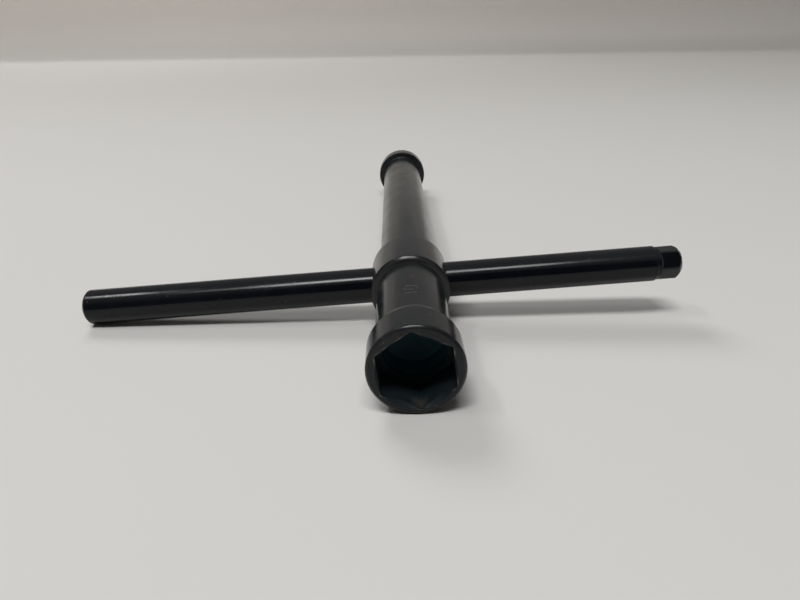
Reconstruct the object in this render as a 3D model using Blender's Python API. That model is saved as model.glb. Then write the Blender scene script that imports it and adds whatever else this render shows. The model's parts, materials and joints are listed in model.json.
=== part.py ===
"""T-handle box wrench: a turned steel body with a hexagon socket in each end, and a round tommy bar
with a hexagon key end that slides through a hole in the body's collar.

Metres, +Z up. The body lies along Y, front socket towards -Y, on a surface at Z = 0, and is rolled
until the long end of the bar rests on that surface too. The origin is below the middle of it all.
"""

import math

import bmesh
import bpy

# What the wrench fits: two nuts, across their flats, and the recess that the bar's key end enters
FRONT_NUT_FLATS = 0.0100
REAR_NUT_FLATS = 0.0080
KEY_FLATS = 0.0050
SOCKET_PLAY = 0.00006

# Lengths along the body, from the axis of the tommy bar
FRONT_REACH = 0.0297
REAR_REACH = 0.0875

# Front head, rear head and collar, all turned to one diameter
FRONT_CORNER_WALL = 0.00079
FRONT_HEAD_LENGTH = 0.0057
FRONT_FLARE_LENGTH = 0.0024
REAR_HEAD_LENGTH = 0.0043
RIM_CHAMFER = 0.0003
COLLAR_WALL = 0.0022
COLLAR_SETBACK = 0.0003
COLLAR_CHAMFER = 0.0005

# Neck behind the front head, and the long shaft behind the collar
FRONT_DRILL_WALL = 0.00105
REAR_CORNER_WALL = 0.00055

# Sockets: a broached hexagon, then the drilled hole that it was broached from
FRONT_SOCKET_TURN = math.radians(3.0)
FRONT_HEX_PAST_HEAD = 0.0003
REAR_HEX_DEPTH = 0.0060
DRILL_UNDERSIZE = 0.0010
DRILL_RUN_ON = 0.0045
DRILL_POINT_ANGLE = math.radians(118.0)

# Tommy bar: its key end is turned down a little before its flats are cut
BAR_LENGTH = 0.1017
BAR_SHIFT = -0.00515
BAR_CHAMFER = 0.0005
BAR_HOLE_CLEARANCE = 0.0001
KEY_CORNERS_TO_FLATS = 1.12
KEY_SHOULDER = 0.0002
KEY_LENGTH = 0.0042
KEY_FLATS_LENGTH = 0.0034
KEY_CHAMFER = 0.0006

# Fineness of the round shapes, and how far a cutter runs past the face that it opens
BODY_SIDES = 72
BAR_SIDES = 48
CUT_PAST = 0.001

# Sizes that follow from those above
HEX_CORNER = 2.0 / math.sqrt(3.0)
FRONT_SOCKET_FLATS = FRONT_NUT_FLATS + SOCKET_PLAY
REAR_SOCKET_FLATS = REAR_NUT_FLATS + SOCKET_PLAY
LAND_RADIUS = FRONT_SOCKET_FLATS * HEX_CORNER / 2.0 + FRONT_CORNER_WALL
FRONT_HEX_DEPTH = FRONT_HEAD_LENGTH + FRONT_HEX_PAST_HEAD
FRONT_DRILL_RADIUS = (FRONT_NUT_FLATS - DRILL_UNDERSIZE) / 2.0
REAR_DRILL_RADIUS = (REAR_NUT_FLATS - DRILL_UNDERSIZE) / 2.0
NECK_RADIUS = FRONT_DRILL_RADIUS + FRONT_DRILL_WALL
SHAFT_RADIUS = REAR_SOCKET_FLATS * HEX_CORNER / 2.0 + REAR_CORNER_WALL
KEY_RADIUS = KEY_FLATS * KEY_CORNERS_TO_FLATS / 2.0
BAR_RADIUS = KEY_RADIUS + KEY_SHOULDER
BAR_HOLE_RADIUS = BAR_RADIUS + BAR_HOLE_CLEARANCE
COLLAR_HALF = BAR_HOLE_RADIUS + COLLAR_WALL
BAR_LEFT = BAR_SHIFT - BAR_LENGTH / 2.0
BAR_RIGHT = BAR_SHIFT + BAR_LENGTH / 2.0


def steel(name, colour, roughness, metallic):
    """One steel finish as a Principled BSDF."""
    material = bpy.data.materials.new(name)
    material.use_nodes = True
    shader = material.node_tree.nodes["Principled BSDF"]
    shader.inputs["Base Color"].default_value = (*colour, 1.0)
    shader.inputs["Roughness"].default_value = roughness
    shader.inputs["Metallic"].default_value = metallic
    return material


def turned(name, outline, sides, first_corner=0.0, closed=False):
    """A solid turned about its own Y axis from (radius, place along the axis) points."""
    shape = bmesh.new()
    points = []
    for radius, along in outline:
        x = radius * math.cos(first_corner)
        z = radius * math.sin(first_corner)
        points.append(shape.verts.new((x, along, z)))
    pairs = list(zip(points, points[1:]))
    if closed:
        pairs.append((points[-1], points[0]))
    edges = [shape.edges.new(pair) for pair in pairs]
    bmesh.ops.spin(
        shape,
        geom=points + edges,
        cent=(0.0, 0.0, 0.0),
        axis=(0.0, 1.0, 0.0),
        angle=2.0 * math.pi,
        steps=sides,
        use_merge=True,
    )
    bmesh.ops.remove_doubles(shape, verts=shape.verts, dist=1e-6)
    open_rims = [edge for edge in shape.edges if edge.is_boundary]
    bmesh.ops.holes_fill(shape, edges=open_rims, sides=0)
    bmesh.ops.recalc_face_normals(shape, faces=shape.faces)
    mesh = bpy.data.meshes.new(name)
    shape.to_mesh(mesh)
    shape.free()
    mesh.shade_smooth()
    mesh.set_sharp_from_angle(angle=math.radians(20.0))
    piece = bpy.data.objects.new(name, mesh)
    bpy.context.collection.objects.link(piece)
    return piece


def cut(piece, cutter):
    """Takes the cutter's shape out of the piece, and marks the cutter as a guide."""
    cutter.hide_render = True
    cutter.display_type = "WIRE"
    boolean = piece.modifiers.new(cutter.name, "BOOLEAN")
    boolean.operation = "DIFFERENCE"
    boolean.solver = "EXACT"
    boolean.object = cutter


def socket(body, name, face, inwards, flats, hex_depth, drill_radius, turn):
    """A blind hexagon socket in an end face, a corner at the top but for its turn, and a drilled hole."""
    corner = flats * HEX_CORNER / 2.0
    outside = face - inwards * CUT_PAST
    hex_end = face + inwards * hex_depth
    top_corner = math.radians(90.0) + turn
    hexagon = turned(name + "_hexagon", [(corner, outside), (corner, hex_end)], 6, top_corner)
    drill_end = hex_end + inwards * DRILL_RUN_ON
    point = drill_radius / math.tan(DRILL_POINT_ANGLE / 2.0)
    drill_outline = [(drill_radius, outside), (drill_radius, drill_end), (0.0, drill_end + inwards * point)]
    drill = turned(name + "_drill", drill_outline, BODY_SIDES)
    for cutter in (hexagon, drill):
        cutter.parent = body
        cut(body, cutter)


def wrench_body():
    """The body, turned from one bar: front head, flare, neck, collar, shaft and rear head."""
    front = -FRONT_REACH
    head_end = front + FRONT_HEAD_LENGTH
    neck_start = head_end + FRONT_FLARE_LENGTH
    collar_front = COLLAR_SETBACK - COLLAR_HALF
    collar_back = COLLAR_SETBACK + COLLAR_HALF
    rear_shoulder = REAR_REACH - REAR_HEAD_LENGTH
    outline = [
        (LAND_RADIUS - RIM_CHAMFER, front),
        (LAND_RADIUS, front + RIM_CHAMFER),
        (LAND_RADIUS, head_end),
        (NECK_RADIUS, neck_start),
        (NECK_RADIUS, collar_front),
        (LAND_RADIUS - COLLAR_CHAMFER, collar_front),
        (LAND_RADIUS, collar_front + COLLAR_CHAMFER),
        (LAND_RADIUS, collar_back),
        (SHAFT_RADIUS, collar_back),
        (SHAFT_RADIUS, rear_shoulder),
        (LAND_RADIUS, rear_shoulder),
        (LAND_RADIUS, REAR_REACH - RIM_CHAMFER),
        (LAND_RADIUS - RIM_CHAMFER, REAR_REACH),
    ]
    body = turned("wrench_body", outline, BODY_SIDES)
    sockets = (
        ("front_socket", front, 1.0, FRONT_SOCKET_FLATS, FRONT_HEX_DEPTH, FRONT_DRILL_RADIUS, FRONT_SOCKET_TURN),
        ("rear_socket", REAR_REACH, -1.0, REAR_SOCKET_FLATS, REAR_HEX_DEPTH, REAR_DRILL_RADIUS, 0.0),
    )
    for made in sockets:
        socket(body, *made)
    through = LAND_RADIUS + CUT_PAST
    bar_hole = turned("bar_hole", [(BAR_HOLE_RADIUS, -through), (BAR_HOLE_RADIUS, through)], BAR_SIDES)
    bar_hole.rotation_euler = (0.0, 0.0, math.radians(-90.0))
    bar_hole.parent = body
    cut(body, bar_hole)
    body.data.materials.append(steel("black_oxide_steel", (0.045, 0.044, 0.042), 0.42, 0.85))
    return body


def tommy_bar():
    """The sliding bar: a plain chamfered end on the left, a hexagon key end on the right."""
    shoulder = BAR_RIGHT - KEY_LENGTH
    flats_start = BAR_RIGHT - KEY_FLATS_LENGTH
    outline = [
        (BAR_RADIUS - BAR_CHAMFER, BAR_LEFT),
        (BAR_RADIUS, BAR_LEFT + BAR_CHAMFER),
        (BAR_RADIUS, shoulder),
        (KEY_RADIUS, shoulder + KEY_SHOULDER),
        (KEY_RADIUS, BAR_RIGHT - KEY_CHAMFER),
        (KEY_RADIUS - KEY_CHAMFER, BAR_RIGHT),
    ]
    bar = turned("tommy_bar", outline, BAR_SIDES)
    inner = KEY_FLATS * HEX_CORNER / 2.0
    outer = 2.0 * BAR_RADIUS
    past = BAR_RIGHT + CUT_PAST
    ring = [(inner, flats_start), (outer, flats_start), (outer, past), (inner, past)]
    flats_cutter = turned("key_flats", ring, 6, closed=True)
    flats_cutter.parent = bar
    cut(bar, flats_cutter)
    bar.rotation_euler = (0.0, 0.0, math.radians(-90.0))
    bar.data.materials.append(steel("blued_steel", (0.020, 0.022, 0.026), 0.30, 0.85))
    return bar


def resting_roll():
    """How far the body rolls on its lands before the bar's long end meets the surface."""
    reach = -BAR_LEFT - BAR_CHAMFER
    return math.asin(LAND_RADIUS / math.hypot(reach, BAR_RADIUS)) - math.atan2(BAR_RADIUS, reach)


def bounds(pieces):
    """Lowest and highest corner of the pieces, as they stand."""
    graph = bpy.context.evaluated_depsgraph_get()
    low = [math.inf] * 3
    high = [-math.inf] * 3
    for piece in pieces:
        seen = piece.evaluated_get(graph)
        for vertex in seen.data.vertices:
            place = seen.matrix_world @ vertex.co
            low = [min(a, b) for a, b in zip(low, place)]
            high = [max(a, b) for a, b in zip(high, place)]
    return low, high


for leftover in list(bpy.data.objects):
    bpy.data.objects.remove(leftover, do_unlink=True)

stance = bpy.data.objects.new("stance", None)
bpy.context.collection.objects.link(stance)
stance.rotation_euler = (0.0, -resting_roll(), 0.0)

wrench = [wrench_body(), tommy_bar()]
for made in wrench:
    made.parent = stance
bpy.context.view_layer.update()

lowest, highest = bounds(wrench)
stance.location = (-(lowest[0] + highest[0]) / 2.0, -(lowest[1] + highest[1]) / 2.0, -lowest[2])
bpy.context.view_layer.update()
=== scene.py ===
"""A black T-handle box wrench, lying on a pale bench under a strip light.

The wrench body is turned from one steel bar and has a hexagon socket in each end. A round tommy bar
slides through its collar. Metres, +Z up.
"""

import json
import math

import bmesh
import bpy
from mathutils import Matrix, Vector


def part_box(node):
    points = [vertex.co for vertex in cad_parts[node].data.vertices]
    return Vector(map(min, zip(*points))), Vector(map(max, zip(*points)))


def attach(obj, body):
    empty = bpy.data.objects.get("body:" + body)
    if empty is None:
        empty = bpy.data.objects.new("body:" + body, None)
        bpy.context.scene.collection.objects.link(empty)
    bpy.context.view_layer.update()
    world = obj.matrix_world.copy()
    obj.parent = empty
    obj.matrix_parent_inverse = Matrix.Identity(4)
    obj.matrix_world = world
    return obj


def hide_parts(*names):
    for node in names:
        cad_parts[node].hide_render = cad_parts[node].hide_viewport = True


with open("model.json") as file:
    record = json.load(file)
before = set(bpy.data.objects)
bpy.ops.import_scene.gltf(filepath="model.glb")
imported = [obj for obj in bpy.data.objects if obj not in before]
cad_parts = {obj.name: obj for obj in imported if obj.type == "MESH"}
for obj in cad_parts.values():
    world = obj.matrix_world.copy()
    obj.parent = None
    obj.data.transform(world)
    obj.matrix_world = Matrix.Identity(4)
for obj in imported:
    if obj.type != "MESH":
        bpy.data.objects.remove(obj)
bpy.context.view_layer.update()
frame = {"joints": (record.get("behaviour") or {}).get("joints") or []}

bpy.ops.object.select_all(action="DESELECT")

MM = 0.001


# ---- Wrench body ------------------------------------------------------------------------------
# One bar of steel, turned down between a front head, a collar and a rear head, which keep its full
# diameter. Both heads are drilled and broached to a hexagon, the collar is drilled across for the
# tommy bar, and the whole is blackened in a hot oxide bath.

# It lies rolled over a little, until the long end of its bar meets the bench.
body_low, body_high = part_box("wrench_body")
bar_low, bar_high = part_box("tommy_bar")
slide = Vector(frame["joints"][0]["axis"])
roll = math.atan2(slide.z, slide.x)
middle = (body_low + body_high) / 2
crossing = Vector((middle.x, (bar_low.y + bar_high.y) / 2, middle.z))
lie = Matrix.Translation(crossing) @ Matrix.Rotation(-roll, 4, "Y")

# Until it is laid down, the body stands along Y with the tommy bar's axis through the origin.
front = body_low.y - crossing.y
rear = body_high.y - crossing.y
land_radius = (body_high.z - body_low.z) / 2
neck_radius = 5.55 * MM
shaft_radius = 5.203 * MM
front_land = 5.7 * MM
flare = 2.4 * MM
rear_land = 4.3 * MM
collar_front = -5.0 * MM
collar_back = 5.6 * MM
front_hex_flats = 10.06 * MM
rear_hex_flats = 8.06 * MM
front_drill = 4.5 * MM
rear_drill = 3.5 * MM
hex_depth = 6.0 * MM
hex_corner_round = 0.15 * MM
drill_run_on = 4.5 * MM
drill_point = math.radians(118.0)
drill_tip = 0.02 * MM
front_hex_turn = math.radians(3.0)
front_mouth = 5.38 * MM
front_mouth_drop = 0.24 * MM
rear_mouth = 4.50 * MM
bar_hole = 3.1 * MM
body_sides = 160
past = 1.0 * MM


def turned(name, disc, steps, sides):
    """A solid turned about Y: a disc at the first (radius, place), drawn out step by step."""
    radius, place = disc
    bpy.ops.mesh.primitive_circle_add(
        vertices=sides,
        radius=radius,
        fill_type="NGON",
        location=(0.0, place, 0.0),
        rotation=(math.radians(90.0), 0.0, 0.0),
    )
    piece = bpy.context.object
    piece.name = name
    piece.data.name = name
    bpy.ops.object.transform_apply(location=True, rotation=True, scale=True)
    bpy.ops.object.mode_set(mode="EDIT")
    bpy.ops.mesh.select_all(action="SELECT")
    for next_radius, next_place in steps:
        move = (0.0, next_place - place, 0.0)
        bpy.ops.mesh.extrude_region_move(TRANSFORM_OT_translate={"value": move})
        growth = next_radius / radius
        if growth != 1.0:
            bpy.ops.transform.resize(value=(growth, 1.0, growth), center_override=(0.0, next_place, 0.0))
        radius, place = next_radius, next_place
    bpy.ops.mesh.select_all(action="SELECT")
    bpy.ops.mesh.normals_make_consistent(inside=False)
    bpy.ops.object.mode_set(mode="OBJECT")
    return piece


def pick_edges(piece, wanted):
    """In edit mode, selects the edges whose two ends both lie where wanted says."""
    bpy.ops.mesh.select_mode(type="EDGE")
    bpy.ops.mesh.select_all(action="DESELECT")
    shape = bmesh.from_edit_mesh(piece.data)
    for edge in shape.edges:
        edge.select_set(all(wanted(corner.co) for corner in edge.verts))
    bmesh.update_edit_mesh(piece.data)


def round_off(piece, wanted, width, segments=4):
    """Rounds the edges that lie where wanted says."""
    bpy.context.view_layer.objects.active = piece
    bpy.ops.object.mode_set(mode="EDIT")
    pick_edges(piece, wanted)
    bpy.ops.mesh.bevel(offset=width, offset_type="OFFSET", segments=segments, profile=0.5, affect="EDGES")
    bpy.ops.object.mode_set(mode="OBJECT")


def ring(radius, place):
    """Says whether a point lies on the ring of that radius, at that place along Y."""
    near = 0.002 * MM
    return lambda at: abs(math.hypot(at.x, at.z) - radius) < near and abs(at.y - place) < near


def cut_away(piece, cutter):
    """Takes the cutter's shape out of the piece and throws the cutter away."""
    boolean = piece.modifiers.new("cut", "BOOLEAN")
    boolean.operation = "DIFFERENCE"
    boolean.solver = "EXACT"
    boolean.object = cutter
    bpy.context.view_layer.objects.active = piece
    bpy.ops.object.modifier_apply(modifier=boolean.name)
    bpy.data.objects.remove(cutter, do_unlink=True)


def broach(flats, face, inwards, depth, turn):
    """A hexagon broach standing in an end face, corners up and down but for its turn."""
    corner = flats / math.sqrt(3.0)
    outside = face - inwards * past
    bottom = face + inwards * depth
    bpy.ops.mesh.primitive_cylinder_add(
        vertices=6,
        radius=corner,
        depth=abs(bottom - outside),
        location=(0.0, (bottom + outside) / 2, 0.0),
        rotation=(math.radians(90.0), 0.0, 0.0),
    )
    cutter = bpy.context.object
    cutter.name = "hexagon_broach"
    bpy.ops.object.transform_apply(location=True, rotation=True, scale=True)
    cutter.data.transform(Matrix.Rotation(-turn, 4, "Y"))
    bpy.ops.object.mode_set(mode="EDIT")
    bpy.ops.mesh.select_mode(type="EDGE")
    bpy.ops.mesh.select_all(action="DESELECT")
    shape = bmesh.from_edit_mesh(cutter.data)
    for edge in shape.edges:
        one, other = edge.verts
        edge.select_set(abs(one.co.y - other.co.y) > past)
    bmesh.update_edit_mesh(cutter.data)
    bpy.ops.mesh.bevel(offset=hex_corner_round, segments=3, profile=0.5, affect="EDGES")
    bpy.ops.object.mode_set(mode="OBJECT")
    return cutter


def socket(piece, face, inwards, flats, drill_radius, mouth, mouth_drop, turn):
    """Drills an end face, broaches it to a hexagon, and countersinks the mouth a little low."""
    bottom = face + inwards * hex_depth
    end = bottom + inwards * drill_run_on
    point = drill_radius / math.tan(drill_point / 2.0)
    tip = (drill_tip, end + inwards * point)
    start = (drill_radius, face - inwards * past)
    cut_away(piece, turned("drill", start, [(drill_radius, end), tip], body_sides // 2))
    cut_away(piece, broach(flats, face, inwards, hex_depth, turn))
    outside = (mouth + past, face - inwards * past)
    inside = (mouth - past, face + inwards * past)
    countersink = turned("countersink", outside, [inside], body_sides)
    countersink.data.transform(Matrix.Translation((0.0, 0.0, -mouth_drop)))
    cut_away(piece, countersink)


body_steps = [
    (land_radius, front + front_land),
    (neck_radius, front + front_land + flare),
    (neck_radius, collar_front),
    (land_radius, collar_front),
    (land_radius, collar_back),
    (shaft_radius, collar_back),
    (shaft_radius, rear - rear_land),
    (land_radius, rear - rear_land),
    (land_radius, rear),
]
body = turned("wrench_body_skin", (land_radius, front), body_steps, body_sides)

# The front rim and the collar have a turned chamfer with its edges broken. The other edges are
# rounded off, and the tool leaves a small radius in each inside corner.
rim = 0.36 * MM
collar_chamfer = 0.5 * MM
face_break = 0.07 * MM
land_break = 0.10 * MM
front_land_round = 0.12 * MM
land_round = 0.25 * MM
flare_root = 0.5 * MM
collar_root = 0.06 * MM
shaft_root = 0.3 * MM
for radius, place, chamfer in ((land_radius, front, rim), (land_radius, collar_front, collar_chamfer)):
    round_off(body, ring(radius, place), chamfer, 1)
    round_off(body, ring(radius - chamfer, place), face_break, 2)
    round_off(body, ring(radius, place + chamfer), land_break, 3)
round_off(body, ring(land_radius, front + front_land), front_land_round)
round_off(body, ring(neck_radius, front + front_land + flare), flare_root)
round_off(body, ring(neck_radius, collar_front), collar_root, 2)
round_off(body, ring(land_radius, collar_back), land_round)
round_off(body, ring(shaft_radius, collar_back), shaft_root)
round_off(body, ring(shaft_radius, rear - rear_land), shaft_root)
round_off(body, ring(land_radius, rear - rear_land), land_round)
round_off(body, ring(land_radius, rear), rim)

# The front hexagon was broached a few degrees off upright, and its countersink cut a little low.
socket(body, front, 1.0, front_hex_flats, front_drill, front_mouth, front_mouth_drop, front_hex_turn)
socket(body, rear, -1.0, rear_hex_flats, rear_drill, rear_mouth, 0.0, 0.0)

# The cross hole, drilled straight through the collar.
through = land_radius + past
cross_drill = turned("cross_drill", (bar_hole, -through), [(bar_hole, through)], 96)
cross_drill.data.transform(Matrix.Rotation(math.radians(-90.0), 4, "Z"))
cut_away(body, cross_drill)


# The size number, 10, is struck into the top of the neck and reads away from the front face. Each
# figure is one round-nosed stroke, wrapped to the neck and let in by less than its own width.
stroke = 0.15 * MM
strike_depth = 0.11 * MM
figure_height = 2.3 * MM
nought_width = 1.7 * MM
nought_place = -15.1 * MM
one_place = -16.9 * MM
figures_right = 0.12 * MM


def wrap_to_neck(cutter):
    """Bends a flat stroke round the neck, at the depth it is struck to."""
    lift = neck_radius + stroke - strike_depth
    for corner in cutter.data.vertices:
        turn = corner.co.x / neck_radius
        height = lift + corner.co.z
        corner.co.x = height * math.sin(turn)
        corner.co.z = height * math.cos(turn)


bpy.ops.mesh.primitive_torus_add(
    major_segments=48,
    minor_segments=12,
    major_radius=nought_width / 2 - stroke,
    minor_radius=stroke,
    location=(0.0, 0.0, 0.0),
)
nought = bpy.context.object
nought.name = "figure_nought"
reach = (figure_height - nought_width) / 2
for corner in nought.data.vertices:
    if abs(corner.co.x) > 1e-6:
        corner.co.x += math.copysign(reach, corner.co.x)
    corner.co.x += figures_right
    corner.co.y += nought_place
wrap_to_neck(nought)
cut_away(body, nought)

bpy.ops.mesh.primitive_uv_sphere_add(segments=12, ring_count=8, radius=stroke, location=(0.0, 0.0, 0.0))
one = bpy.context.object
one.name = "figure_one"
one.data.transform(Matrix.Rotation(math.radians(90.0), 4, "Y"))
for corner in one.data.vertices:
    if abs(corner.co.x) > 1e-6:
        corner.co.x += math.copysign(figure_height / 2 - 2 * stroke, corner.co.x)
    corner.co.y += one_place
wrap_to_neck(one)
cut_away(body, one)


def finish_piece(piece, frame_of_piece, smooth_up_to):
    """Cleans the mesh, shades it, keeps its flats flat, and lays it down in its place."""
    bpy.ops.object.select_all(action="DESELECT")
    piece.select_set(True)
    bpy.context.view_layer.objects.active = piece
    bpy.ops.object.mode_set(mode="EDIT")
    bpy.ops.mesh.select_all(action="SELECT")
    bpy.ops.mesh.remove_doubles(threshold=0.001 * MM)
    bpy.ops.mesh.select_all(action="DESELECT")
    bpy.ops.object.mode_set(mode="OBJECT")
    piece.data.transform(frame_of_piece)
    bpy.ops.object.shade_smooth_by_angle(angle=math.radians(smooth_up_to))
    weighted = piece.modifiers.new("flat_faces", "WEIGHTED_NORMAL")
    weighted.mode = "FACE_AREA"
    weighted.keep_sharp = True
    bpy.ops.object.modifier_apply(modifier=weighted.name)


finish_piece(body, lie, 32.0)


def add_node(tree, kind, settings=None, values=None):
    """One node of a shader tree, with its settings and the values of its sockets."""
    made = tree.nodes.new(kind)
    for name, setting in (settings or {}).items():
        setattr(made, name, setting)
    for name, value in (values or {}).items():
        made.inputs[name].default_value = value
    return made


def sum_of(tree, one_socket, other_socket, operation="ADD"):
    """Two number sockets joined by arithmetic; a plain number may stand for the second."""
    made = add_node(tree, "ShaderNodeMath", {"operation": operation})
    tree.links.new(one_socket, made.inputs[0])
    if isinstance(other_socket, (int, float)):
        made.inputs[1].default_value = other_socket
    else:
        tree.links.new(other_socket, made.inputs[1])
    return made.outputs[0]


def spread(tree, socket_in, low, high, to_low=0.0, to_high=1.0):
    """Maps a number from one span to another, held at its ends."""
    made = add_node(tree, "ShaderNodeMapRange", {"clamp": True})
    made.inputs["From Min"].default_value = low
    made.inputs["From Max"].default_value = high
    made.inputs["To Min"].default_value = to_low
    made.inputs["To Max"].default_value = to_high
    tree.links.new(socket_in, made.inputs["Value"])
    return made.outputs["Result"]


def new_effect(name, takes, gives):
    """An empty node group with named sockets, and its input and output nodes."""
    group = bpy.data.node_groups.new(name, "ShaderNodeTree")
    for socket_name, kind, value in takes:
        made = group.interface.new_socket(socket_name, in_out="INPUT", socket_type=kind)
        if value is not None:
            made.default_value = value
    for socket_name in gives:
        group.interface.new_socket(socket_name, in_out="OUTPUT", socket_type="NodeSocketFloat")
    return group, group.nodes.new("NodeGroupInput"), group.nodes.new("NodeGroupOutput")


# Tool marks: fine rings round the lathe axis, on barrels and end faces alike. The effect takes
# places measured in the piece's own lathe frame, with Y as the axis.
tool_marks, takes, gives = new_effect(
    "tool_marks",
    [("Vector", "NodeSocketVector", None), ("Rings", "NodeSocketFloat", 6000.0)],
    ["Height", "Tone"],
)
split = add_node(tool_marks, "ShaderNodeSeparateXYZ")
tool_marks.links.new(takes.outputs["Vector"], split.inputs[0])
across = sum_of(tool_marks, split.outputs["X"], split.outputs["X"], "MULTIPLY")
upright = sum_of(tool_marks, split.outputs["Z"], split.outputs["Z"], "MULTIPLY")
radius_out = sum_of(tool_marks, sum_of(tool_marks, across, upright), 0.5, "POWER")
travel = sum_of(tool_marks, split.outputs["Y"], radius_out)
travel_scaled = sum_of(tool_marks, travel, takes.outputs["Rings"], "MULTIPLY")
breaks_around = 260.0
around = add_node(tool_marks, "ShaderNodeCombineXYZ")
tool_marks.links.new(sum_of(tool_marks, split.outputs["X"], breaks_around, "MULTIPLY"), around.inputs["X"])
tool_marks.links.new(travel_scaled, around.inputs["Y"])
tool_marks.links.new(sum_of(tool_marks, split.outputs["Z"], breaks_around, "MULTIPLY"), around.inputs["Z"])
rings = add_node(tool_marks, "ShaderNodeTexNoise", None, {"Scale": 1.0, "Detail": 3.0, "Roughness": 0.6})
tool_marks.links.new(around.outputs[0], rings.inputs["Vector"])
tool_marks.links.new(rings.outputs["Fac"], gives.inputs["Height"])
tool_marks.links.new(spread(tool_marks, rings.outputs["Fac"], 0.3, 0.7), gives.inputs["Tone"])

# Handling: broad smears of oil and fingers, and sparse small specks of dust and pitting.
handling, takes, gives = new_effect(
    "handling",
    [
        ("Vector", "NodeSocketVector", None),
        ("Smear Scale", "NodeSocketFloat", 120.0),
        ("Speck Scale", "NodeSocketFloat", 1400.0),
    ],
    ["Smear", "Specks"],
)
smear_look = {"Detail": 4.0, "Roughness": 0.62, "Distortion": 0.6}
smears = add_node(handling, "ShaderNodeTexNoise", None, smear_look)
handling.links.new(takes.outputs["Vector"], smears.inputs["Vector"])
handling.links.new(takes.outputs["Smear Scale"], smears.inputs["Scale"])
handling.links.new(spread(handling, smears.outputs["Fac"], 0.36, 0.66), gives.inputs["Smear"])
specks = add_node(handling, "ShaderNodeTexVoronoi", {"feature": "F1"}, {"Randomness": 1.0})
handling.links.new(takes.outputs["Vector"], specks.inputs["Vector"])
handling.links.new(takes.outputs["Speck Scale"], specks.inputs["Scale"])
speck_size = spread(handling, specks.outputs["Distance"], 0.10, 0.22, 1.0, 0.0)
speck_pick = add_node(handling, "ShaderNodeSeparateColor")
handling.links.new(specks.outputs["Color"], speck_pick.inputs[0])
clean_share = 0.97
chosen = sum_of(handling, speck_pick.outputs[0], clean_share, "GREATER_THAN")
handling.links.new(sum_of(handling, speck_size, chosen, "MULTIPLY"), gives.inputs["Specks"])

# Edge wear: where the steel bends away outwards within Reach, broken up by patches.
edge_wear, takes, gives = new_effect(
    "edge_wear",
    [("Vector", "NodeSocketVector", None), ("Reach", "NodeSocketFloat", 0.3 * MM)],
    ["Wear"],
)
look_inside = {"inside": True, "only_local": True, "samples": 12}
inside = add_node(edge_wear, "ShaderNodeAmbientOcclusion", look_inside)
edge_wear.links.new(takes.outputs["Reach"], inside.inputs["Distance"])
thin = spread(edge_wear, inside.outputs["AO"], 0.62, 0.92, 1.0, 0.0)
patches = add_node(edge_wear, "ShaderNodeTexNoise", None, {"Scale": 900.0, "Detail": 4.0, "Roughness": 0.7})
edge_wear.links.new(takes.outputs["Vector"], patches.inputs["Vector"])
worn = spread(edge_wear, patches.outputs["Fac"], 0.42, 0.62)
edge_wear.links.new(sum_of(edge_wear, thin, worn, "MULTIPLY"), gives.inputs["Wear"])

# Bloom: a soft ragged patch round one spot, for rust and for dust that has settled.
bloom, takes, gives = new_effect(
    "bloom",
    [
        ("Vector", "NodeSocketVector", None),
        ("Spot", "NodeSocketVector", None),
        ("Reach", "NodeSocketFloat", 1.0 * MM),
    ],
    ["Mask"],
)
away = add_node(bloom, "ShaderNodeVectorMath", {"operation": "DISTANCE"})
bloom.links.new(takes.outputs["Vector"], away.inputs[0])
bloom.links.new(takes.outputs["Spot"], away.inputs[1])
nearness = sum_of(bloom, away.outputs["Value"], takes.outputs["Reach"], "DIVIDE")
ragged = add_node(bloom, "ShaderNodeTexNoise", None, {"Scale": 1500.0, "Detail": 5.0, "Roughness": 0.7})
bloom.links.new(takes.outputs["Vector"], ragged.inputs["Vector"])
edge_of_patch = sum_of(bloom, nearness, sum_of(bloom, ragged.outputs["Fac"], 1.1, "MULTIPLY"))
bloom.links.new(spread(bloom, edge_of_patch, 0.75, 1.35, 1.0, 0.0), gives.inputs["Mask"])


def place_effect(tree, group, vector, values=None):
    """An effect put into a material, reading the given places."""
    made = tree.nodes.new("ShaderNodeGroup")
    made.node_tree = group
    tree.links.new(vector, made.inputs["Vector"])
    for name, value in (values or {}).items():
        made.inputs[name].default_value = value
    return made


def blend_colour(tree, mask, under, over):
    """Lays one colour over another by a mask; each may be a colour or a socket."""
    made = add_node(tree, "ShaderNodeMix", {"data_type": "RGBA"})
    tree.links.new(mask, made.inputs["Factor"])
    for socket_in, colour in ((made.inputs[6], under), (made.inputs[7], over)):
        if isinstance(colour, tuple):
            socket_in.default_value = (*colour, 1.0)
        else:
            tree.links.new(colour, socket_in)
    return made.outputs[2]


def new_finish(name, lathe_frame):
    """A material with its shader, and places measured in the piece's own lathe frame."""
    material = bpy.data.materials.new(name)
    material.use_nodes = True
    tree = material.node_tree
    shader = tree.nodes["Principled BSDF"]
    places = add_node(tree, "ShaderNodeTexCoord")
    to_lathe = add_node(tree, "ShaderNodeMapping", {"vector_type": "TEXTURE"})
    to_lathe.inputs["Location"].default_value = lathe_frame.translation
    to_lathe.inputs["Rotation"].default_value = lathe_frame.to_euler()
    tree.links.new(places.outputs["Object"], to_lathe.inputs["Vector"])
    return material, tree, shader, to_lathe.outputs["Vector"]


# Hot black oxide over turned steel: a thin blue-black skin, satin where it was turned and oilier in
# smears, rubbed grey on the rims, with a faint rust patch on the neck, and the corner in front of
# the collar lightened by a little dust and by painted glare from the collar's highlight.
oxide_black = (0.0095, 0.0110, 0.0125)
oxide_grey = (0.020, 0.021, 0.022)
rubbed_steel = (0.150, 0.145, 0.138)
rust_brown = (0.100, 0.048, 0.024)
dust_and_glare_grey = (0.110, 0.104, 0.094)

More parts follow.
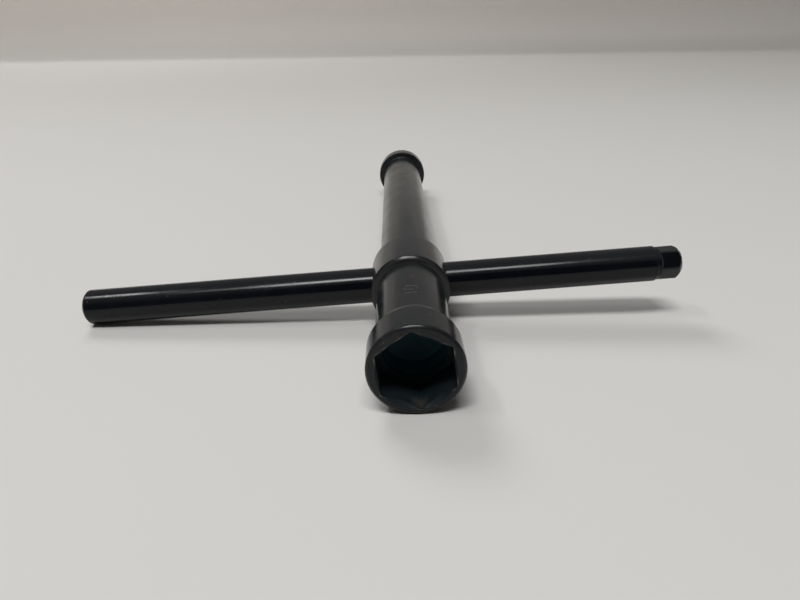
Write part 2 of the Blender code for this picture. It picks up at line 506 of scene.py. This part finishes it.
black_oxide, tree, shader, lathe_places = new_finish("black_oxide", lie)
marks = place_effect(tree, tool_marks, lathe_places, {"Rings": 7000.0})
hands = place_effect(tree, handling, lathe_places, {"Smear Scale": 140.0, "Speck Scale": 1300.0})
wear = place_effect(tree, edge_wear, lathe_places, {"Reach": 0.35 * MM})
neck_mark = Vector((0.5 * MM, -10.6 * MM, neck_radius))
neck_rust = place_effect(tree, bloom, lathe_places, {"Spot": neck_mark, "Reach": 1.1 * MM})
rust_strength = 0.28
rust = sum_of(tree, neck_rust.outputs["Mask"], rust_strength, "MULTIPLY")
colour = blend_colour(tree, hands.outputs["Smear"], oxide_black, oxide_grey)
colour = blend_colour(tree, sum_of(tree, marks.outputs["Tone"], 0.25, "MULTIPLY"), colour, oxide_black)
colour = blend_colour(tree, sum_of(tree, hands.outputs["Specks"], 0.45, "MULTIPLY"), colour, dust_and_glare_grey)
colour = blend_colour(tree, wear.outputs["Wear"], colour, rubbed_steel)
colour = blend_colour(tree, rust, colour, rust_brown)
along = add_node(tree, "ShaderNodeSeparateXYZ")
tree.links.new(lathe_places, along.inputs[0])
# Painted glare: the corner in front of the collar face is blended toward dust grey, partly dust and partly
# painted light standing in for the glare of the collar's highlight.
before_collar = spread(tree, along.outputs["Y"], collar_front - 0.5 * MM, collar_front, 0.0, 1.0)
behind_face = spread(tree, along.outputs["Y"], collar_front + 0.1 * MM, collar_front + 0.3 * MM, 1.0, 0.0)
dust_and_glare_strength = 0.15
in_corner = sum_of(tree, before_collar, behind_face, "MULTIPLY")
corner_dust_and_glare = sum_of(tree, in_corner, dust_and_glare_strength, "MULTIPLY")
colour = blend_colour(tree, corner_dust_and_glare, colour, dust_and_glare_grey)
tree.links.new(colour, shader.inputs["Base Color"])
satin = spread(tree, hands.outputs["Smear"], 0.0, 1.0, 0.15, 0.23)
satin = sum_of(tree, satin, spread(tree, marks.outputs["Tone"], 0.0, 1.0, -0.02, 0.04))
satin = sum_of(tree, satin, sum_of(tree, rust, 0.4, "MULTIPLY"))
tree.links.new(satin, shader.inputs["Roughness"])
tree.links.new(sum_of(tree, wear.outputs["Wear"], 0.6, "MULTIPLY"), shader.inputs["Metallic"])
shader.inputs["Specular IOR Level"].default_value = 0.24
relief = add_node(tree, "ShaderNodeBump", None, {"Strength": 0.3, "Distance": 0.004 * MM})
tree.links.new(marks.outputs["Height"], relief.inputs["Height"])
grit = add_node(tree, "ShaderNodeBump", None, {"Strength": 0.5, "Distance": 0.02 * MM})
tree.links.new(sum_of(tree, hands.outputs["Specks"], rust), grit.inputs["Height"])
tree.links.new(relief.outputs["Normal"], grit.inputs["Normal"])
tree.links.new(grit.outputs["Normal"], shader.inputs["Normal"])
body.data.materials.append(black_oxide)

# Inside the sockets the oxide is dull and scaly, black with old oil at the mouth, and painted light
# makes it lighter and bluer further in; a little grey dirt has settled in the lowest corner.
scale_black = (0.0085, 0.0135, 0.0165)
scale_grey = (0.0160, 0.0215, 0.0250)
deeper_painted_light = (0.0190, 0.0310, 0.0375)
deepest_painted_light = (0.0760, 0.1500, 0.1900)
settled_dirt = (0.0700, 0.0620, 0.0570)
dull_oxide, tree, shader, lathe_places = new_finish("dull_oxide", lie)
marks = place_effect(tree, tool_marks, lathe_places, {"Rings": 2500.0})
hands = place_effect(tree, handling, lathe_places, {"Smear Scale": 420.0, "Speck Scale": 1500.0})
lowest_corner = Vector((0.2 * MM, front + 1.4 * MM, -5.6 * MM))
dirt = place_effect(tree, bloom, lathe_places, {"Spot": lowest_corner, "Reach": 1.9 * MM})
depth_split = add_node(tree, "ShaderNodeSeparateXYZ")
tree.links.new(lathe_places, depth_split.inputs[0])
hex_bottom = front + hex_depth
# Painted light: the walls turn lighter and bluer with depth and lightest in the drill, where the hole lies
# in shade. The rear socket lies past these depths and takes the lightest colour all through.
past_mouth = spread(tree, depth_split.outputs["Y"], front + 1.8 * MM, front + 4.5 * MM)
in_drill = spread(tree, depth_split.outputs["Y"], hex_bottom + 0.2 * MM, hex_bottom + 1.6 * MM)
colour = blend_colour(tree, hands.outputs["Smear"], scale_black, scale_grey)
colour = blend_colour(tree, past_mouth, colour, deeper_painted_light)
colour = blend_colour(tree, in_drill, colour, deepest_painted_light)
colour = blend_colour(tree, sum_of(tree, hands.outputs["Specks"], 0.3, "MULTIPLY"), colour, dust_and_glare_grey)
colour = blend_colour(tree, sum_of(tree, dirt.outputs["Mask"], 0.6, "MULTIPLY"), colour, settled_dirt)
tree.links.new(colour, shader.inputs["Base Color"])
dull = spread(tree, hands.outputs["Smear"], 0.0, 1.0, 0.36, 0.5)
dry_dirt = sum_of(tree, dirt.outputs["Mask"], 0.25, "MULTIPLY")
tree.links.new(sum_of(tree, dull, dry_dirt), shader.inputs["Roughness"])
shader.inputs["Specular IOR Level"].default_value = 0.15
relief = add_node(tree, "ShaderNodeBump", None, {"Strength": 0.5, "Distance": 0.015 * MM})
tree.links.new(sum_of(tree, marks.outputs["Height"], hands.outputs["Smear"]), relief.inputs["Height"])
tree.links.new(relief.outputs["Normal"], shader.inputs["Normal"])
body.data.materials.append(dull_oxide)

# Dry residue sits in the struck figures and makes them read lighter than the neck.
residue_pale = (0.085, 0.080, 0.070)
residue, tree, shader, lathe_places = new_finish("residue", lie)
hands = place_effect(tree, handling, lathe_places, {"Smear Scale": 1500.0, "Speck Scale": 3000.0})
colour = blend_colour(tree, hands.outputs["Smear"], oxide_grey, residue_pale)
tree.links.new(colour, shader.inputs["Base Color"])
tree.links.new(spread(tree, hands.outputs["Smear"], 0.0, 1.0, 0.35, 0.6), shader.inputs["Roughness"])
relief = add_node(tree, "ShaderNodeBump", None, {"Strength": 0.4, "Distance": 0.01 * MM})
tree.links.new(hands.outputs["Smear"], relief.inputs["Height"])
tree.links.new(relief.outputs["Normal"], shader.inputs["Normal"])
body.data.materials.append(residue)

# Which faces are which, told by where they lie in the lathe frame.
skin_deep = 0.012 * MM
inside_front_hex = 6.0 * MM
inside_rear_hex = 4.8 * MM
struck_below = neck_radius - 0.2 * MM
drill_end = one_place + 2.0 * MM
to_lathe = lie.inverted()
for face in body.data.polygons:
    at = to_lathe @ face.center
    from_axis = math.hypot(at.x, at.z)
    behind_front = front + skin_deep < at.y
    in_front_hexagon = behind_front and at.y < hex_bottom + skin_deep and from_axis < inside_front_hex
    in_front_drill = behind_front and at.y < drill_end and from_axis < front_drill + skin_deep
    in_rear_socket = rear / 2 < at.y < rear - skin_deep and from_axis < inside_rear_hex
    under_neck_skin = struck_below < from_axis < neck_radius - skin_deep
    at_the_figures = at.z > 0.0 and one_place - MM < at.y < nought_place + 1.2 * MM
    if under_neck_skin and at_the_figures:
        face.material_index = 2
    elif in_front_hexagon or in_front_drill or in_rear_socket:
        face.material_index = 1

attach(body, "wrench_body")
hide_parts("wrench_body")


# ---- Tommy bar --------------------------------------------------------------------------------
# A length of smooth ground bar, blued darker than the body. Its left end is chamfered. Its right
# end is turned down a little and filed to a hexagon key. It is a sliding fit in the collar.
bar_frame = lie @ Matrix.Rotation(math.radians(-90.0), 4, "Z")
bar_radius = 3.0 * MM
bar_left = -56.0 * MM
bar_right = 45.7 * MM
bar_chamfer = 0.5 * MM
key_radius = 2.8 * MM
key_length = 4.2 * MM
key_shoulder = 0.2 * MM
key_flats = 5.0 * MM
key_flats_length = 3.4 * MM
key_chamfer = 0.6 * MM
bar_sides = 128

# It is modelled along Y too, and laid across the collar afterwards.
chamfer_round = 0.18 * MM
shoulder_round = 0.08 * MM
bar_steps = [
    (bar_radius, bar_left + bar_chamfer),
    (bar_radius, bar_right - key_length),
    (key_radius, bar_right - key_length + key_shoulder),
    (key_radius, bar_right - key_chamfer),
    (key_radius - key_chamfer, bar_right),
]
bar = turned("tommy_bar_skin", (bar_radius - bar_chamfer, bar_left), bar_steps, bar_sides)

# The six flats are cut by one broad ring with a hexagon opening.
flats_start = bar_right - key_flats_length
bpy.ops.mesh.primitive_cylinder_add(
    vertices=6,
    radius=key_flats / math.sqrt(3.0),
    depth=key_flats_length + past,
    end_fill_type="NOTHING",
    location=(0.0, flats_start + (key_flats_length + past) / 2, 0.0),
    rotation=(math.radians(90.0), math.radians(90.0), 0.0),
)
key_cutter = bpy.context.object
key_cutter.name = "key_cutter"
bpy.ops.object.transform_apply(location=True, rotation=True, scale=True)
wall = key_cutter.modifiers.new("wall", "SOLIDIFY")
wall.thickness = bar_radius
wall.offset = 1.0
wall.use_even_offset = True
bpy.ops.object.modifier_apply(modifier=wall.name)
cut_away(bar, key_cutter)

round_off(bar, ring(bar_radius, bar_left + bar_chamfer), chamfer_round, 3)
round_off(bar, ring(bar_radius - bar_chamfer, bar_left), chamfer_round, 3)
round_off(bar, ring(bar_radius, bar_right - key_length), shoulder_round, 3)
finish_piece(bar, bar_frame, 32.0)

# Bluing over ground steel: near black with a cold cast, glossier than the body, with faint rings
# from grinding, scuffs from sliding in the collar, and small bright nicks.
blue_black = (0.0026, 0.0036, 0.0056)
blue_grey = (0.0046, 0.0056, 0.0078)
nick_steel = (0.20, 0.20, 0.20)

blued, tree, shader, lathe_places = new_finish("blued_bar", bar_frame)
marks = place_effect(tree, tool_marks, lathe_places, {"Rings": 11000.0})
hands = place_effect(tree, handling, lathe_places, {"Smear Scale": 160.0, "Speck Scale": 1700.0})
wear = place_effect(tree, edge_wear, lathe_places, {"Reach": 0.3 * MM})
colour = blend_colour(tree, hands.outputs["Smear"], blue_black, blue_grey)
colour = blend_colour(tree, sum_of(tree, hands.outputs["Specks"], 0.3, "MULTIPLY"), colour, nick_steel)
colour = blend_colour(tree, sum_of(tree, wear.outputs["Wear"], 0.5, "MULTIPLY"), colour, nick_steel)
tree.links.new(colour, shader.inputs["Base Color"])
gloss = spread(tree, hands.outputs["Smear"], 0.0, 1.0, 0.11, 0.19)
gloss = sum_of(tree, gloss, spread(tree, marks.outputs["Tone"], 0.0, 1.0, -0.02, 0.04))
tree.links.new(gloss, shader.inputs["Roughness"])
tree.links.new(sum_of(tree, wear.outputs["Wear"], 0.5, "MULTIPLY"), shader.inputs["Metallic"])
shader.inputs["Specular IOR Level"].default_value = 0.27
relief = add_node(tree, "ShaderNodeBump", None, {"Strength": 0.25, "Distance": 0.003 * MM})
tree.links.new(marks.outputs["Height"], relief.inputs["Height"])
tree.links.new(relief.outputs["Normal"], shader.inputs["Normal"])
bar.data.materials.append(blued)

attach(bar, "tommy_bar")
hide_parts("tommy_bar")


# ---- Bench and backdrop -----------------------------------------------------------------------
# A plain painted board, swept up into a wall well behind the wrench. Painted shade darkens it far
# back and to the right, where the light falls off, and it is a little warmer where it turns up.
bench_width = 8.0
bench_near = -3.0
bench_far = 1.15
sweep_radius = 0.08
wall_height = 0.30

bpy.ops.mesh.primitive_plane_add(size=1.0, location=(0.0, (bench_near + bench_far) / 2, 0.0))
bench = bpy.context.object
bench.name = "bench"
bench.scale = (bench_width, bench_far - bench_near, 1.0)
bpy.ops.object.transform_apply(location=True, rotation=True, scale=True)
bpy.ops.object.mode_set(mode="EDIT")
pick_edges(bench, lambda at: at.y > bench_far - MM)
bpy.ops.mesh.extrude_region_move(TRANSFORM_OT_translate={"value": (0.0, 0.0, wall_height)})
pick_edges(bench, lambda at: at.y > bench_far - MM and at.z < MM)
bpy.ops.mesh.bevel(offset=sweep_radius, segments=12, profile=0.5, affect="EDGES")
bpy.ops.object.mode_set(mode="OBJECT")
bpy.ops.object.shade_smooth()

board = bpy.data.materials.new("painted_board")
board.use_nodes = True
tree = board.node_tree
shader = tree.nodes["Principled BSDF"]
places = add_node(tree, "ShaderNodeTexCoord")
clouds = add_node(tree, "ShaderNodeTexNoise", None, {"Scale": 9.0, "Detail": 3.0, "Roughness": 0.5})
tree.links.new(places.outputs["Object"], clouds.inputs["Vector"])
paint_pale = (0.905, 0.886, 0.862)
paint_shade = (0.875, 0.856, 0.831)
painted_shade_far = (0.745, 0.722, 0.685)
painted_shade_right = (0.300, 0.295, 0.290)
paint_wall = (0.950, 0.880, 0.800)
board_places = add_node(tree, "ShaderNodeSeparateXYZ")
tree.links.new(places.outputs["Object"], board_places.inputs[0])
# Painted shade: darker toward the back and to the right, as the light falls off.
shade_further_back = spread(tree, board_places.outputs["Y"], -0.10, 0.50)
shade_further_back.node.interpolation_type = "SMOOTHSTEP"
shade_to_the_right = spread(tree, board_places.outputs["X"], -0.35, 0.35, 0.0, 0.25)
colour = blend_colour(tree, clouds.outputs["Fac"], paint_shade, paint_pale)
colour = blend_colour(tree, shade_further_back, colour, painted_shade_far)
colour = blend_colour(tree, shade_to_the_right, colour, painted_shade_right)
up_the_wall = spread(tree, board_places.outputs["Z"], 0.004, 0.030, 0.0, 0.4)
colour = blend_colour(tree, up_the_wall, colour, paint_wall)
tree.links.new(colour, shader.inputs["Base Color"])
shader.inputs["Roughness"].default_value = 0.55
shader.inputs["Specular IOR Level"].default_value = 0.25
bench.data.materials.append(board)


# ---- Light ------------------------------------------------------------------------------------
# A long strip light, made of three tubes, hangs over the bench a little to the near side. A short
# one hangs on the left, and soft light comes from a window behind that the steel doesn't mirror.
# The room is pale behind and above, and dimmer on the near side.
def area_light(name, place, size, power, aim):
    """A rectangular lamp at a place, turned to shine at the aim."""
    lamp = bpy.data.lights.new(name, "AREA")
    lamp.shape = "RECTANGLE"
    lamp.size, lamp.size_y = size
    lamp.energy = power
    holder = bpy.data.objects.new(name, lamp)
    bpy.context.collection.objects.link(holder)
    holder.location = place
    holder.rotation_euler = (aim - place).to_track_quat("-Z", "Y").to_euler()
    return holder


strip_height = 2.0
strip_nearer = -0.70
strip_width = 0.42
tubes = (
    ("left_tube", -0.41, 0.54, 13.6),
    ("right_tube", 0.13, 0.54, 8.6),
    ("tube_end", -0.84, 0.32, 1.0),
)
for tube, along, length, power in tubes:
    under_tube = crossing + Vector((along, 0.0, 0.0))
    hung_at = under_tube + Vector((0.0, strip_nearer, strip_height))
    area_light(tube, hung_at, (length, strip_width), power, under_tube)
area_light("left_light", crossing + Vector((-1.20, -0.05, 2.0)), (0.50, 0.16), 4.4, crossing)
window_light = area_light("window_light", crossing + Vector((-0.8, 1.5, 1.6)), (1.0, 0.8), 15.0, crossing)
window_light.visible_glossy = False

room = bpy.data.worlds.new("room")
room.use_nodes = True
bpy.context.scene.world = room
tree = room.node_tree
sky_places = add_node(tree, "ShaderNodeTexCoord")
sky = add_node(tree, "ShaderNodeSeparateXYZ")
tree.links.new(sky_places.outputs["Generated"], sky.inputs[0])
near_side = (0.055, 0.057, 0.062)
far_side = (0.260, 0.256, 0.250)
overhead = (0.430, 0.425, 0.417)
soft_light = (0.050, 0.0495, 0.0485)
backdrop_tone = (0.42, 0.40, 0.38)
room_colour = blend_colour(tree, spread(tree, sky.outputs["Y"], -0.70, 0.30), near_side, far_side)
room_colour = blend_colour(tree, spread(tree, sky.outputs["Z"], 0.45, 0.95), room_colour, overhead)
seen = add_node(tree, "ShaderNodeLightPath")
room_colour = blend_colour(tree, seen.outputs["Is Diffuse Ray"], room_colour, soft_light)
room_colour = blend_colour(tree, seen.outputs["Is Camera Ray"], room_colour, backdrop_tone)
tree.links.new(room_colour, tree.nodes["Background"].inputs["Color"])
tree.nodes["Background"].inputs["Strength"].default_value = 1.0

bpy.context.scene.view_settings.view_transform = "Standard"


# ---- Camera -----------------------------------------------------------------------------------
# Close in front of the socket and above it, looking along the body.
camera_data = bpy.data.cameras.new("camera")
camera_data.sensor_width = 36.0
camera_data.lens = 27.045
camera_data.clip_start = 0.005
camera = bpy.data.objects.new("camera", camera_data)
bpy.context.collection.objects.link(camera)
camera.location = crossing + Vector((-2.382, -95.67, 39.961)) * MM
camera.rotation_euler = (math.radians(65.650), math.radians(0.795), math.radians(-0.742))
bpy.context.scene.camera = camera

# A black flag behind the camera keeps the near side of the bar and the socket dark. Only
# reflections see it.
flag_size = (0.17, 0.085)
flag_behind = 0.006
bpy.ops.mesh.primitive_plane_add(size=1.0)
flag = bpy.context.object
flag.name = "flag"
flag_place = Matrix.Translation((0.03, 0.0, flag_behind)) @ Matrix.Diagonal((*flag_size, 1.0, 1.0))
flag.data.transform(Matrix.LocRotScale(camera.location, camera.rotation_euler, None) @ flag_place)
flag.visible_camera = False
flag.visible_shadow = False
flag.visible_diffuse = False
black_cloth = bpy.data.materials.new("black_cloth")
black_cloth.use_nodes = True
tree = black_cloth.node_tree
shader = tree.nodes["Principled BSDF"]
cloth_dark = (0.004, 0.004, 0.005)
cloth_light = (0.012, 0.012, 0.013)
weave = add_node(tree, "ShaderNodeTexNoise", None, {"Scale": 900.0})
colour = blend_colour(tree, weave.outputs["Fac"], cloth_dark, cloth_light)
tree.links.new(colour, shader.inputs["Base Color"])
shader.inputs["Roughness"].default_value = 0.9
flag.data.materials.append(black_cloth)
